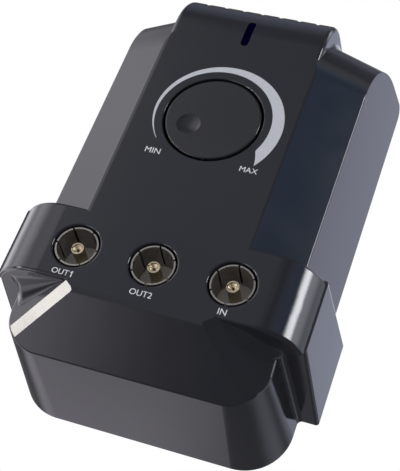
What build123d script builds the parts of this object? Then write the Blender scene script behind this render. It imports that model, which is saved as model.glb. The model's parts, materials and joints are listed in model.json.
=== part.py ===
"""Plug-in TV aerial amplifier: one aerial input, two outputs and a gain control.

Millimetres. X runs across the unit, Z up the wall and the front faces -Y. The back lies
on Y = 0, and the origin is the centre of the plug's pin pattern on it.
"""

import os
from math import asin, cos, radians, sin, sqrt, tan

from build123d import *

os.makedirs("parts", exist_ok=True)

# Case, seen from the front
depth = 43.2
row_z = -58.0
wall = 2.2
back_wall = 2.6
overrun = 5.0

# Flat ridge down the middle, with a rounded grip at its upper end
ridge_half = 20.0
ridge_round = 2.0
grip_roll = 15.5
grip_roll_z = row_z + 70.0
grip_draft = 12.5
grip_edge_round = 1.3
lobe_count = 8
lobe_rise = 0.7
lobe_fade_radius = 17.5
lobe_fade_angle = 75.0
lobe_cut_share = 0.46

# Shoulders that slope from the ridge to the side walls
shoulder_half = 32.2
shoulder_drop = 8.2
side_draft = 6.36
shoulder_end_z = row_z + 80.3
shoulder_end_draft = 13.1
shoulder_roll_share = 1.64
shoulder_roll = shoulder_roll_share * (shoulder_half - ridge_half)
shoulder_edge_round = 0.5
end_foot_round = 3.0

# Wide block across the sockets: a band on the cover and a drafted block on the housing
block_half = 40.4
band_flat_share = 255 / 404
band_flat_half = band_flat_share * block_half
band_roll_share = 130 / 404
band_roll = band_roll_share * block_half
band_edge_round = 0.9
band_top_z = row_z + 10.2
band_bottom_z = row_z - 9.0
block_top_z = row_z + 12.9
block_bottom_z = row_z - 10.3
block_draft = 3.9
block_corner_round = 0.8

# Chin below the sockets: a sloping facet between two flanks
chin_half = 35.3
chin_end_z = row_z - 26.8
chin_corner = 12.1
chin_draft = 5.8
facet_top_z = row_z - 11.0
facet_angle = 44.0
flank_start = 17.5
flank_angle = 36.0
flank_lean = 5.5
ridge_bevel = 0.71
facet_crest_round = 2.0
chin_rim_round = 0.8
chin_foot_round = 1.2

# Parting line: how far it lies behind the front, going down the case
parting_drop = 8.2
parting_chin_drops = (11.2, 11.4, 10.3)
parting_chin_z = (band_bottom_z, row_z - 16.0, row_z - 21.0)

case_top_z = row_z + 94.0
case_reach = 50.0

# Openings in the cover
socket_pitch_share = 190 / 404
socket_pitch = socket_pitch_share * block_half
socket_hole_radius = 5.6
socket_hole_round = 0.5
knob_z = row_z + 42.3
knob_hole_radius = 12.42
knob_hole_round = 0.25
slot_bottom_z = row_z + 66.0
slot_top_z = row_z + 74.4
slot_width = 2.0

# Levels of the inside, measured from the back face
board_thickness = 1.6
main_board_share = 16 / 27
main_board_level = main_board_share * depth
power_board_level = 5.0

# Case screws, from the back into posts of the cover
upper_screw = (25.0, row_z + 63.0)
lower_screw_edge = 8.4
lower_screw = (block_half - lower_screw_edge, row_z)
post_radius = 3.0
boss_radius = 4.5
boss_share = 5 / 12
boss_level = boss_share * depth
boss_floor = 2.5
screw_radius = 1.4
screw_length = 11.0
screw_head_radius = 2.9
screw_head_height = 2.0
drive_width = 0.7
drive_depth = 1.0
counterbore_radius = 3.3
screw_clearance = 0.3
thread_clearance = 0.05
pilot_relief = 1.0

# Main board and the posts of the cover that carry it
board_to_screw = 4.0
main_board_half = block_half - lower_screw_edge - board_to_screw
main_board_bottom_z = row_z - 12.5
main_board_top_z = row_z + 72.5
board_post_edge = 6.0
board_post_x = main_board_half - board_post_edge
board_posts = ((board_post_x, row_z + 20.0), (board_post_x, row_z + 53.0))
board_post_radius = 2.6
board_screw_radius = 1.05
board_screw_length = 7.0
board_screw_head_radius = 2.1
board_screw_head_height = 1.4
post_gap = 0.5

# Coaxial sockets: 9.5 mm shells with sprung fingers round a centre contact
shell_bore_radius = 4.75
shell_radius = 5.15
shell_recess = 0.45
shell_base_radius = 6.3
shell_base_thickness = 1.0
finger_count = 6
finger_slit = 0.45
finger_root = 3.05
finger_phases = (0.0, 30.0, 30.0)
contact_radius = 1.5
contact_bore_radius = 1.2
contact_recess = 1.4
contact_bore_share = 0.5
contact_slit = 0.35
insulator_rise = 2.0
insulator_stem_radius = 3.0

# Tinplate screen round the sockets' part of the main board
screen_half = main_board_half
screen_bottom_z = row_z - 11.0
screen_top_z = row_z + 11.0
screen_height = 4.0
screen_sheet = 0.5
rear_screen_height = 2.0

# Gain control: knob, potentiometer and its inner stop
knob_radius = 11.77
knob_plate = 1.8
knob_skirt = 3.8
knob_skirt_wall = 1.3
knob_hub_radius = 5.0
knob_edge_round = 0.4
knob_rib = 1.0
dimple_place_radius = 6.1
dimple_angle = 208.0
dimple_radius = 3.0
dimple_depth = 0.7
pot_radius = 8.0
pot_height = 6.0
pot_wall = 0.8
pot_bush_radius = 3.6
pot_bush_height = 3.8
shaft_radius = 3.0
shaft_running_gap = 0.05
shaft_flat = 2.3
shaft_end_gap = 0.4
hub_gap = 0.3
rotor_radius = 4.8
rotor_thickness = 1.2
rotor_gap = 0.3
rotor_stub_radius = 2.0
stop_angle = 45.0
stop_half_angle = 24.0
stop_slack = 1.0
track_thickness = 0.3
track_inner_radius = 3.6
track_outer_radius = 6.0
wiper_gap = 0.2
wiper_size = 1.4

# Power light
window_clearance = 0.05
window_recess = 0.1
window_flange = 0.9
window_flange_thickness = 1.8
led_radius = 1.5
led_length = 5.3
led_rim_radius = 1.9
led_rim_thickness = 1.0
led_gap = 0.9
led_lead_spacing = 2.54
led_lead_size = 0.5

# Plug pins: their pattern, sections and lengths
pin_pitch = 22.23
pin_width = 6.35
pin_height = 4.0
pin_length = 17.7
pin_core_width = 5.35
pin_core_height = 3.0
sleeve_length = 9.5
earth_width = 4.0
earth_height = 8.0
earth_length = 22.73
pin_tip_chamfer = 0.9
pin_hole_clearance = 0.05
pin_flange = 1.3
pin_flange_thickness = 1.5
tab_width = 3.0
tab_thickness = 1.0
tab_rise = 1.2
pin_live_z = -pin_pitch / 2
pin_earth_z = pin_pitch / 2

# Plate that holds the pins from inside, with its screws
retainer_half = 18.0
retainer_bottom_z = row_z + 41.5
retainer_top_z = row_z + 76.5
retainer_thickness = 2.5
retainer_corner = 2.0
retainer_screw = (14.0, row_z + 60.0)
inner_screw_radius = 1.05
inner_screw_length = 5.0
inner_screw_head_radius = 2.1
inner_screw_head_height = 1.4
inner_boss_radius = 2.6

# Power board and its parts
board_to_boss = 6.0
power_board_half = block_half - lower_screw_edge - board_to_boss
power_spread = power_board_half / 26.0
power_board_bottom_z = row_z - 16.0
power_board_top_z = row_z + 37.0
power_screw_x = 22.0 * power_spread
power_board_screws = ((power_screw_x, row_z - 11.0), (power_screw_x, row_z + 32.0))
transformer_z = row_z + 4.0
coil_headroom = 4.0
coil_overhang = 3.8
core_limb = 9.0 * power_spread
core_window = 5.5 * power_spread
core_window_height = 17.0
core_outer_limb = 5.0 * power_spread
core_yoke = 4.5
bobbin_wall = 0.8
winding_depth = 2.6 * power_spread
strap_width = 4.5
strap_thickness = 0.5
strap_bottom_z = row_z + 33.5
capacitor_place = (20.5 * power_spread, row_z + 2.0)
capacitor_radius = 4.0
capacitor_height = 11.0
diode_x = -20.5 * power_spread
diode_pitch = 4.0
diode_count = 4
diode_radius = 1.35
diode_length = 5.2
regulator_place = (16.0 * power_spread, row_z + 24.0)
regulator_body = (10.0, 4.6, 9.0)
regulator_tab = (10.0, 1.3)
regulator_headroom = 4.0
fuse_place = (-15.5 * power_spread, row_z + 24.0)
fuse_radius = 4.2
fuse_height = 7.7
link_z = row_z + 25.0
link_size = (10.2, 2.5)
chip_place = (0.0, row_z + 5.5)
chip_size = (5.0, 4.0, 1.5)
splitter_place = (-9.5, row_z + 5.5)
splitter_size = (6.0, 5.0, 2.8)
splitter_hole_radius = 0.8


def level(height):
    """Sketch plane this far in front of the back face, seen from the front."""
    return Plane.XZ.offset(height)


def grip_outline(skin):
    """Side view of the ridge and its rolled end, this far inside the surface."""
    roll = grip_roll - skin
    slope = radians(grip_draft)
    centre = (-(depth - grip_roll), grip_roll_z)
    tangent = (centre[0] - roll * sin(slope), centre[1] + roll * cos(slope))
    middle = radians((90 + grip_draft) / 2)
    bend = (centre[0] - roll * sin(middle), centre[1] + roll * cos(middle))
    foot = (-skin, tangent[1] + (-skin - tangent[0]) * tan(slope))
    top = (skin - depth, grip_roll_z)
    with BuildSketch() as outline:
        with BuildLine():
            Line((-skin, row_z), (skin - depth, row_z))
            Line((skin - depth, row_z), top)
            ThreePointArc(top, bend, tangent)
            Line(tangent, foot)
            Line(foot, (-skin, row_z))
        make_face()
        foot_corner = outline.vertices().sort_by(Axis.Y)[-1]
        fillet(foot_corner, end_foot_round - skin)
    return outline.sketch


def case_section(skin):
    """Cross-section of the upper case: flat ridge, sloping shoulders, drafted sides."""
    back_half = shoulder_half + (depth - shoulder_drop) * tan(radians(side_draft))
    with BuildSketch(Plane.XY) as section:
        with BuildLine():
            Polyline(
                (-ridge_half, -depth),
                (ridge_half, -depth),
                (shoulder_half, shoulder_drop - depth),
                (back_half, 0),
                (-back_half, 0),
                (-shoulder_half, shoulder_drop - depth),
                close=True,
            )
        make_face()
        if skin:
            offset(amount=-skin, kind=Kind.INTERSECTION)
        else:
            corners = section.vertices().sort_by(Axis.Y)
            fillet(corners[2:4], shoulder_edge_round)
            fillet(section.vertices().sort_by(Axis.Y)[:2], ridge_round)
    return section.sketch


def shoulder_section(skin):
    """The right shoulder's cross-section, its slope carried on to the middle."""
    slope = shoulder_drop / (shoulder_half - ridge_half)
    back_half = shoulder_half + (depth - shoulder_drop) * tan(radians(side_draft))
    with BuildSketch(Plane.XY) as section:
        with BuildLine():
            Polyline(
                (0, -depth - ridge_half * slope),
                (shoulder_half, shoulder_drop - depth),
                (back_half, 0),
                (-back_half, 0),
                (-shoulder_half, shoulder_drop - depth),
                close=True,
            )
        make_face()
        if skin:
            offset(amount=-skin, kind=Kind.INTERSECTION)
        inner = ridge_half - skin - grip_edge_round - overrun / 10
        with Locations((inner - case_reach, -depth)):
            Rectangle(2 * case_reach, 4 * depth, mode=Mode.SUBTRACT)
    return section.sketch


def upper_form(skin):
    """Ridge, shoulders and side walls, rounded over at the upper end."""
    slant = radians(shoulder_end_draft)
    end_normal = (0, -sin(slant), cos(slant))
    end_plane = Plane(
        origin=(0, shoulder_drop - depth, shoulder_end_z - skin / cos(slant)),
        x_dir=(1, 0, 0),
        z_dir=end_normal,
    )
    with BuildPart() as shoulder:
        with BuildSketch(Plane.XY.offset(row_z)):
            add(shoulder_section(skin))
        extrude(amount=case_top_z - row_z)
        split(bisect_by=end_plane, keep=Keep.BOTTOM)
        end_face = shoulder.faces().sort_by(Axis.Z)[-1]
        slope_edge = end_face.edges().sort_by(Axis.Y)[0]
        foot_edge = end_face.edges().sort_by(Axis.Y)[-1]
        fillet(slope_edge, shoulder_roll - skin)
        if not skin:
            fillet(foot_edge, end_foot_round)
    with BuildPart() as prism:
        with BuildSketch(Plane.XY.offset(row_z)):
            add(case_section(skin))
        extrude(amount=case_top_z - row_z)
        add(shoulder.part, mode=Mode.INTERSECT)
    with BuildPart() as form:
        with BuildSketch(Plane.YZ):
            add(grip_outline(skin))
        extrude(amount=ridge_half - skin, both=True)
        if not skin:
            rims = form.faces().sort_by(Axis.X)
            edges = rims[0].edges() + rims[-1].edges()
            front_edges = edges.filter_by(lambda e: e.center().Y < -end_foot_round * 2)
            fillet(front_edges.filter_by(lambda e: e.center().Z > row_z + overrun),
                   grip_edge_round)
        add(prism.part)
        add(mirror(prism.part, about=Plane.YZ, mode=Mode.PRIVATE))
    return form.part


def band_form(skin):
    """Band across the sockets, its ends rolled over towards the wall."""
    reach = parting_drop
    roll = band_roll - skin
    rise = asin((band_roll - reach) / roll)
    end = (band_flat_half + roll * cos(rise), reach - depth)
    bend_angle = (radians(90) + rise) / 2
    centre = (band_flat_half, band_roll - depth)
    bend = (centre[0] + roll * cos(bend_angle), centre[1] - roll * sin(bend_angle))
    with BuildPart() as form:
        with BuildSketch(Plane.XY.offset(band_bottom_z + skin)) as section:
            with BuildLine():
                Line((0, reach - depth), (0, skin - depth))
                Line((0, skin - depth), (band_flat_half, skin - depth))
                ThreePointArc((band_flat_half, skin - depth), bend, end)
                Line(end, (0, reach - depth))
            make_face()
            mirror(about=Plane.YZ)
        extrude(amount=band_top_z - band_bottom_z - 2 * skin)
        if not skin:
            ends = form.faces().sort_by(Axis.Z)
            rims = ends[0].edges() + ends[-1].edges()
            fillet(rims.filter_by(lambda e: e.center().Y < reach - depth - band_edge_round),
                   band_edge_round)
    return form.part


def block_form(skin):
    """Drafted block of the housing behind the band."""
    with BuildPart() as form:
        with BuildSketch(level(0)):
            with Locations((0, (block_top_z + block_bottom_z) / 2)):
                Rectangle(2 * (block_half - skin), block_top_z - block_bottom_z - 2 * skin)
        extrude(amount=depth - parting_drop, taper=block_draft)
        if not skin:
            front_to_back = form.edges().sort_by(Axis.Y)[4:8]
            fillet(front_to_back, block_corner_round)
    return form.part


def facing(origin, normal, skin):
    """Plane through a point, moved back along its normal by the skin."""
    direction = Vector(*normal).normalized()
    return Plane(origin=Vector(*origin) - direction * skin, z_dir=direction)


def chin_form(skin):
    """Chin below the band: a drafted plug cut by the facet, the flanks and their ridges."""
    tilt = radians(facet_angle)
    facet_normal = Vector(0, -cos(tilt), -sin(tilt))
    lean = tan(radians(flank_lean))
    crest = (0, -depth, facet_top_z)
    top_z = row_z
    with BuildPart() as form:
        with BuildSketch(level(0)) as plan:
            with Locations((0, (top_z + chin_end_z + skin) / 2)):
                Rectangle(2 * (chin_half - skin), top_z - chin_end_z - skin)
            fillet(plan.vertices().sort_by(Axis.Y)[:2], chin_corner - skin)
        extrude(amount=depth - skin, taper=chin_draft)
        split(bisect_by=facing(crest, facet_normal, skin), keep=Keep.BOTTOM)
        for side in (-1, 1):
            flank_normal = Vector(side * tan(radians(flank_angle)), -1, -lean).normalized()
            corner = (side * flank_start, -depth, facet_top_z)
            split(bisect_by=facing(corner, flank_normal, skin), keep=Keep.BOTTOM)
            bevel = facing(corner, facet_normal + flank_normal, skin + ridge_bevel)
            split(bisect_by=bevel, keep=Keep.BOTTOM)
        if not skin:
            slants = form.faces().filter_by(lambda f: f.normal_at().Y < -cos(tilt) / 2)
            top = form.faces().sort_by(Axis.Z)[-1]
            walls = form.faces() - slants
            fillet((slants.edges() & walls.edges()) - top.edges(), chin_rim_round)
            fillet(form.edges().sort_by_distance(crest)[0], facet_crest_round)
    return form.part


def cover_zone():
    """Everything in front of the parting surface."""
    far_z = chin_end_z - overrun
    far_drop = parting_chin_drops[-1] + (parting_chin_z[-1] - far_z) * tan(radians(facet_angle))
    with BuildPart() as zone:
        with BuildSketch(Plane.YZ):
            with BuildLine():
                Polyline(
                    (-depth - overrun, case_top_z),
                    (parting_drop - depth, case_top_z),
                    (parting_drop - depth, parting_chin_z[0]),
                    *[(drop - depth, z) for drop, z in zip(parting_chin_drops, parting_chin_z)],
                    (far_drop - depth, far_z),
                    (-depth - overrun, far_z),
                    close=True,
                )
            make_face()
        extrude(amount=case_reach, both=True)
    return zone.part


def cavity_form():
    """The hollow inside both shells."""
    with BuildPart() as cavity:
        add(upper_form(wall))
        add(band_form(wall))
        add(block_form(wall))
        add(chin_form(wall))
        with BuildSketch(level(0)):
            Rectangle(4 * case_reach, 4 * case_reach)
        extrude(amount=back_wall, mode=Mode.SUBTRACT)
    return cavity.part


def both_sides(place):
    """A place and its mirror image across the unit."""
    return [place, (-place[0], place[1])]


def centred_slot(width, bottom_z, top_z):
    """Upright slot with round ends, in the current sketch."""
    with Locations((0, (bottom_z + top_z) / 2)):
        SlotOverall(top_z - bottom_z, width, rotation=90)


cavity = cavity_form()
zone = cover_zone()
case_screw_places = both_sides(upper_screw) + both_sides(lower_screw)
board_screw_places = [place for pair in board_posts for place in both_sides(pair)]
socket_places = [(-socket_pitch, row_z), (0, row_z), (socket_pitch, row_z)]

# Grip: round lobes across the upper end, which fade out towards the front
lobe_pitch = 2 * ridge_half / lobe_count
lobe_radius = (lobe_pitch**2 / 4 + lobe_rise**2) / (2 * lobe_rise)
flank_x = lobe_pitch / 4
flank_height = lobe_rise - lobe_radius + sqrt(lobe_radius**2 - flank_x**2)
shoulder_x = lobe_pitch * lobe_cut_share
with BuildSketch() as valley_section:
    with BuildLine():
        ThreePointArc((0, 0), (flank_x, flank_height), (shoulder_x, lobe_rise))
        Line((shoulder_x, lobe_rise), (shoulder_x, 2 * lobe_rise))
        Line((shoulder_x, 2 * lobe_rise), (-shoulder_x, 2 * lobe_rise))
        Line((-shoulder_x, 2 * lobe_rise), (-shoulder_x, lobe_rise))
        ThreePointArc((-shoulder_x, lobe_rise), (-flank_x, flank_height), (0, 0))
    make_face()


def around_grip(radius, centre, angle):
    """Point on an arc about the grip's roll, by its angle down from the upper end."""
    return centre + Vector(0, -sin(angle), cos(angle)) * radius


with BuildPart() as grip_valleys:
    slope = radians(grip_draft)
    run = Vector(0, cos(slope), sin(slope))
    roll_centre = Vector(0, grip_roll - depth, grip_roll_z)
    foot = around_grip(grip_roll - lobe_rise, roll_centre, slope)
    fade_centre = around_grip(-lobe_fade_radius, foot, slope)
    fade_end = radians(lobe_fade_angle)
    with BuildLine() as valley_path:
        Line(foot + run * depth, foot)
        ThreePointArc(
            foot,
            around_grip(lobe_fade_radius, fade_centre, (slope + fade_end) / 2),
            around_grip(lobe_fade_radius, fade_centre, fade_end),
        )
    with BuildSketch(Plane(origin=foot + run * depth, x_dir=(1, 0, 0), z_dir=-run)):
        with GridLocations(lobe_pitch, 0, lobe_count - 1, 1):
            add(valley_section.sketch)
    sweep(path=valley_path.line)

main_board_front = main_board_level + board_thickness
power_board_front = power_board_level + board_thickness
screen_front = main_board_front + screen_height
shell_base_front = screen_front + shell_base_thickness
inner_front = depth - wall


def case_outside(parts):
    """The case's outer form from its separate forms, with the grip's valleys cut."""
    with BuildPart() as outside:
        add(upper_form(0))
        add(grip_valleys.part, mode=Mode.SUBTRACT)
        for form in parts:
            add(form)
    return outside.part


def posts(places, radius, low, high):
    """Round posts that stand at these places between two levels."""
    with BuildPart() as group:
        with BuildSketch(level(low)):
            with Locations(*places):
                Circle(radius)
        extrude(amount=high - low)
    return group.part


def finish(part, name):
    """Name a piece and write it."""
    part.label = name
    export_step(part, f"parts/{name}.step")


cover_outside = case_outside([band_form(0), chin_form(0)])
with BuildPart() as housing_form:
    add(case_outside([block_form(0), chin_form(0)]))
    chin_feet = housing_form.edges().filter_by(lambda e: e.length > depth / 2)
    chin_feet = chin_feet.filter_by(lambda e: ridge_half < abs(e.center().X) < chin_half)
    fillet(chin_feet.filter_by(
        lambda e: abs(e.center().Z - block_bottom_z) < 2 * chin_foot_round), chin_foot_round)
housing_outside = housing_form.part

with BuildPart() as cover_posts:
    add(posts(case_screw_places, post_radius, boss_level, depth))
    add(posts(board_screw_places, board_post_radius, main_board_front, depth))
    add(cover_outside + housing_outside, mode=Mode.INTERSECT)

with BuildPart() as front_cover:
    add(cover_outside)
    add(zone, mode=Mode.INTERSECT)
    add(cavity, mode=Mode.SUBTRACT)
    add(cover_posts.part)
    with BuildSketch(level(depth)):
        with Locations(*socket_places):
            Circle(socket_hole_radius)
        with Locations((0, knob_z)):
            Circle(knob_hole_radius)
        centred_slot(slot_width, slot_bottom_z, slot_top_z)
    extrude(amount=-2 * wall, mode=Mode.SUBTRACT)
    rims = front_cover.edges().filter_by(GeomType.CIRCLE)
    rims = rims.filter_by(lambda e: abs(e.center().Y + depth) < socket_hole_round / 10)
    fillet(rims.filter_by(lambda e: abs(e.radius - socket_hole_radius) < socket_hole_round),
           socket_hole_round)
    rims = front_cover.edges().filter_by(GeomType.CIRCLE)
    rims = rims.filter_by(lambda e: abs(e.center().Y + depth) < socket_hole_round / 10)
    fillet(rims.filter_by(lambda e: abs(e.radius - knob_hole_radius) < socket_hole_round),
           knob_hole_round)
    pilot_end = boss_level - boss_floor + screw_length + pilot_relief
    add(posts(case_screw_places, screw_radius + thread_clearance, boss_level, pilot_end),
        mode=Mode.SUBTRACT)
    add(posts(board_screw_places, board_screw_radius + thread_clearance, main_board_front,
              main_board_level + board_screw_length + pilot_relief), mode=Mode.SUBTRACT)
finish(front_cover.part, "front_cover")

live_places = [(-pin_pitch / 2, pin_live_z), (pin_pitch / 2, pin_live_z)]
earth_place = (0, pin_earth_z)
retainer_back = back_wall + pin_flange_thickness
retainer_front = retainer_back + retainer_thickness
retainer_screw_places = both_sides(retainer_screw)
power_screw_places = [place for pair in power_board_screws for place in both_sides(pair)]

with BuildPart() as rear_housing:
    add(housing_outside)
    add(zone, mode=Mode.SUBTRACT)
    add(cavity, mode=Mode.SUBTRACT)
    add(posts(case_screw_places, boss_radius, 0, boss_level))
    add(posts(power_screw_places, inner_boss_radius, 0, power_board_level))
    add(posts(retainer_screw_places, inner_boss_radius, 0, retainer_back))
    add(posts(case_screw_places, counterbore_radius, 0, boss_level - boss_floor),
        mode=Mode.SUBTRACT)
    add(posts(case_screw_places, screw_radius + screw_clearance, 0, boss_level),
        mode=Mode.SUBTRACT)
    add(posts(power_screw_places, inner_screw_radius + thread_clearance,
              power_board_front - inner_screw_length, power_board_level), mode=Mode.SUBTRACT)
    add(posts(retainer_screw_places, inner_screw_radius + thread_clearance,
              retainer_front - inner_screw_length, retainer_back), mode=Mode.SUBTRACT)
    with BuildSketch(level(0)):
        with Locations(*live_places):
            Rectangle(pin_width + 2 * pin_hole_clearance, pin_height + 2 * pin_hole_clearance)
        with Locations(earth_place):
            Rectangle(earth_width + 2 * pin_hole_clearance, earth_height + 2 * pin_hole_clearance)
    extrude(amount=back_wall, mode=Mode.SUBTRACT)
finish(rear_housing.part, "rear_housing")


def screws(places, tip, head_seat, shank_radius, head_radius, head_height):
    """Cross-head screws whose heads rest on a level and whose shanks run to the tip."""
    toward_back = 1 if tip > head_seat else -1
    head_end = head_seat - toward_back * head_height
    with BuildPart() as group:
        with BuildSketch(level(head_seat)):
            with Locations(*places):
                Circle(shank_radius)
        extrude(amount=tip - head_seat)
        with BuildSketch(level(head_end)):
            with Locations(*places):
                Circle(head_radius)
        extrude(amount=head_seat - head_end)
        with BuildSketch(level(head_end)):
            with Locations(*places):
                Rectangle(head_radius, drive_width)
                Rectangle(drive_width, head_radius)
        extrude(amount=toward_back * drive_depth, mode=Mode.SUBTRACT)
    return group.part


# Screws
screw_seat = boss_level - boss_floor
finish(
    screws(case_screw_places, screw_seat + screw_length, screw_seat, screw_radius,
           screw_head_radius, screw_head_height),
    "case_screws",
)
finish(
    screws(board_screw_places, main_board_level + board_screw_length, main_board_level,
           board_screw_radius, board_screw_head_radius, board_screw_head_height),
    "main_board_screws",
)
finish(
    screws(power_screw_places, power_board_front - inner_screw_length, power_board_front,
           inner_screw_radius, inner_screw_head_radius, inner_screw_head_height),
    "power_board_screws",
)
finish(
    screws(retainer_screw_places, retainer_front - inner_screw_length, retainer_front,
           inner_screw_radius, inner_screw_head_radius, inner_screw_head_height),
    "retainer_screws",
)

# Main board, notched round the cover's posts
with BuildPart() as main_board:
    with BuildSketch(level(main_board_level)):
        with Locations((0, (main_board_top_z + main_board_bottom_z) / 2)):
            Rectangle(2 * main_board_half, main_board_top_z - main_board_bottom_z)
        with Locations(*case_screw_places):
            Circle(post_radius + post_gap, mode=Mode.SUBTRACT)
        with Locations(*board_screw_places):
            Circle(board_screw_radius + screw_clearance, mode=Mode.SUBTRACT)
    extrude(amount=board_thickness)
finish(main_board.part, "main_board")


def screen(half, bottom_z, top_z, board_side, height):
    """Folded tinplate lid that stands on a board, its open side on the board."""
    outward = 1 if height > 0 else -1
    with BuildPart() as can:
        with BuildSketch(level(board_side)):
            with Locations((0, (top_z + bottom_z) / 2)):
                Rectangle(2 * half, top_z - bottom_z)
        extrude(amount=height)
        with BuildSketch(level(board_side)):
            with Locations((0, (top_z + bottom_z) / 2)):
                Rectangle(2 * (half - screen_sheet), top_z - bottom_z - 2 * screen_sheet)
        extrude(amount=height - outward * screen_sheet, mode=Mode.SUBTRACT)
    return can.part


with BuildPart() as front_screen:
    add(screen(screen_half, screen_bottom_z, screen_top_z, main_board_front, screen_height))
    add(posts(socket_places, insulator_stem_radius, main_board_front, screen_front),
        mode=Mode.SUBTRACT)
finish(front_screen.part, "front_screen")
finish(
    screen(screen_half, screen_bottom_z, screen_top_z, main_board_level, -rear_screen_height),
    "rear_screen",
)


def socket_shell(place, phase):
    """Nickelled shell: a flanged tube whose mouth is slit into spring fingers."""
    mouth = depth - shell_recess
    with BuildPart() as shell:
        with BuildSketch(level(screen_front)):
            with Locations(place):
                Circle(shell_base_radius)
        extrude(amount=shell_base_thickness)
        with BuildSketch(level(shell_base_front)):
            with Locations(place):
                Circle(shell_radius)
        extrude(amount=mouth - shell_base_front)
        with BuildSketch(level(shell_base_front)):
            with Locations(place):
                Circle(shell_bore_radius)
        extrude(amount=mouth - shell_base_front, mode=Mode.SUBTRACT)
        with BuildSketch(level(screen_front)):
            with Locations(place):
                Circle(insulator_stem_radius)
        extrude(amount=shell_base_thickness, mode=Mode.SUBTRACT)
        with BuildSketch(level(mouth)):
            with Locations(place):
                with PolarLocations((shell_bore_radius + shell_radius) / 2, finger_count, phase):
                    Rectangle(2 * (shell_radius - shell_bore_radius), finger_slit)
        extrude(amount=shell_base_front + finger_root - mouth, mode=Mode.SUBTRACT)
    return shell.part


def socket_insulator(place):
    """White spacer that carries the centre contact in its shell."""
    with BuildPart() as insulator:
        with BuildSketch(level(shell_base_front)):
            with Locations(place):
                Circle(shell_bore_radius)
        extrude(amount=insulator_rise)
        with BuildSketch(level(main_board_front + screen_sheet)):
            with Locations(place):
                Circle(insulator_stem_radius)
        extrude(amount=shell_base_front - main_board_front - screen_sheet)
        with BuildSketch(level(main_board_front)):
            with Locations(place):
                Circle(contact_radius)
        extrude(amount=depth, mode=Mode.SUBTRACT)
    return insulator.part


def centre_contact(place):
    """Tubular contact for a plug's centre pin, split along one side of its mouth."""
    tip = depth - contact_recess
    with BuildPart() as contact:
        with BuildSketch(level(main_board_front)):
            with Locations(place):
                Circle(contact_radius)
        extrude(amount=tip - main_board_front)
        with BuildSketch(level(tip)):
            with Locations(place):
                Circle(contact_bore_radius)
            with Locations((place[0] - contact_radius, place[1])):
                Rectangle(contact_radius, contact_slit)
        extrude(amount=contact_bore_share * (main_board_front - tip), mode=Mode.SUBTRACT)
    return contact.part


for place, phase, socket in zip(socket_places, finger_phases, ("out_1", "out_2", "in")):
    finish(socket_shell(place, phase), f"socket_shell_{socket}")
    finish(socket_insulator(place), f"socket_insulator_{socket}")
    finish(centre_contact(place), f"centre_contact_{socket}")

# Gain control. Angles are measured from +X, anticlockwise as seen from the front.
knob_place = (0, knob_z)
pot_front = main_board_front + pot_height
bush_front = pot_front + pot_bush_height
hub_back = bush_front + hub_gap
plate_back = depth - knob_plate
shaft_end = plate_back - shaft_end_gap
rotor_level = main_board_front + pot_wall + track_thickness + 2 * rotor_gap


def sector(radius, angle, half_angle):
    """Pie slice about the knob's axis, in the current sketch."""
    low, high = radians(angle - half_angle), radians(angle + half_angle)
    middle = radians(angle)
    centre = Vector(*knob_place)
    start = centre + Vector(cos(low), sin(low)) * radius
    end = centre + Vector(cos(high), sin(high)) * radius
    with BuildSketch(mode=Mode.PRIVATE) as slice_:
        with BuildLine():
            Line(centre, start)
            ThreePointArc(start, centre + Vector(cos(middle), sin(middle)) * radius, end)
            Line(end, centre)
        make_face()
    return slice_.sketch


with BuildPart() as gain_knob:
    with BuildSketch(level(plate_back)):
        with Locations(knob_place):
            Circle(knob_radius)
    extrude(amount=knob_plate)
    with BuildSketch(level(depth - knob_skirt)):
        with Locations(knob_place):
            Circle(knob_radius)
            Circle(knob_radius - knob_skirt_wall, mode=Mode.SUBTRACT)
    extrude(amount=knob_skirt - knob_plate)
    with BuildSketch(level(hub_back)):
        with Locations(knob_place):
            Circle(knob_hub_radius)
    extrude(amount=plate_back - hub_back)
    with BuildSketch(level(depth - knob_skirt)):
        with Locations(knob_place):
            with PolarLocations(0, 3, 30):
                Rectangle(2 * knob_radius - knob_skirt_wall, knob_rib)
    extrude(amount=knob_skirt - knob_plate)
    with BuildSketch(level(hub_back)):
        with Locations(knob_place):
            Circle(shaft_radius)
        with Locations((0, knob_z - shaft_flat - shaft_radius)):
            Rectangle(2 * shaft_radius, 2 * shaft_radius, mode=Mode.SUBTRACT)
    extrude(amount=shaft_end - hub_back, mode=Mode.SUBTRACT)
    top_rim = gain_knob.faces().sort_by(Axis.Y)[0].edges()
    fillet(top_rim, knob_edge_round)
    bowl_radius = (dimple_radius**2 + dimple_depth**2) / (2 * dimple_depth)
    bowl_angle = radians(dimple_angle)
    with Locations((dimple_place_radius * cos(bowl_angle),
                    dimple_depth - depth - bowl_radius,
                    knob_z + dimple_place_radius * sin(bowl_angle))):
        Sphere(bowl_radius, mode=Mode.SUBTRACT)
finish(gain_knob.part, "gain_knob")

with BuildPart() as pot_shaft:
    with BuildSketch(level(rotor_level)):
        with Locations(knob_place):
            Circle(rotor_stub_radius)
    extrude(amount=rotor_thickness)
    with BuildSketch(level(rotor_level + rotor_thickness)):
        with Locations(knob_place):
            Circle(shaft_radius)
    extrude(amount=shaft_end - rotor_level - rotor_thickness)
    with BuildSketch(level(hub_back)):
        with Locations((0, knob_z - shaft_flat - shaft_radius)):
            Rectangle(2 * shaft_radius, 2 * shaft_radius)
    extrude(amount=shaft_end - hub_back, mode=Mode.SUBTRACT)
finish(pot_shaft.part, "pot_shaft")

stop_end_radius = pot_radius - pot_wall - rotor_gap
with BuildPart() as pot_rotor:
    with BuildSketch(level(rotor_level)):
        with Locations(knob_place):
            Circle(rotor_radius)
        add(sector(stop_end_radius, dimple_angle, stop_angle - stop_half_angle - stop_slack))
        with Locations(knob_place):
            Circle(rotor_stub_radius, mode=Mode.SUBTRACT)
    extrude(amount=rotor_thickness)
finish(pot_rotor.part, "pot_rotor")

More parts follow.
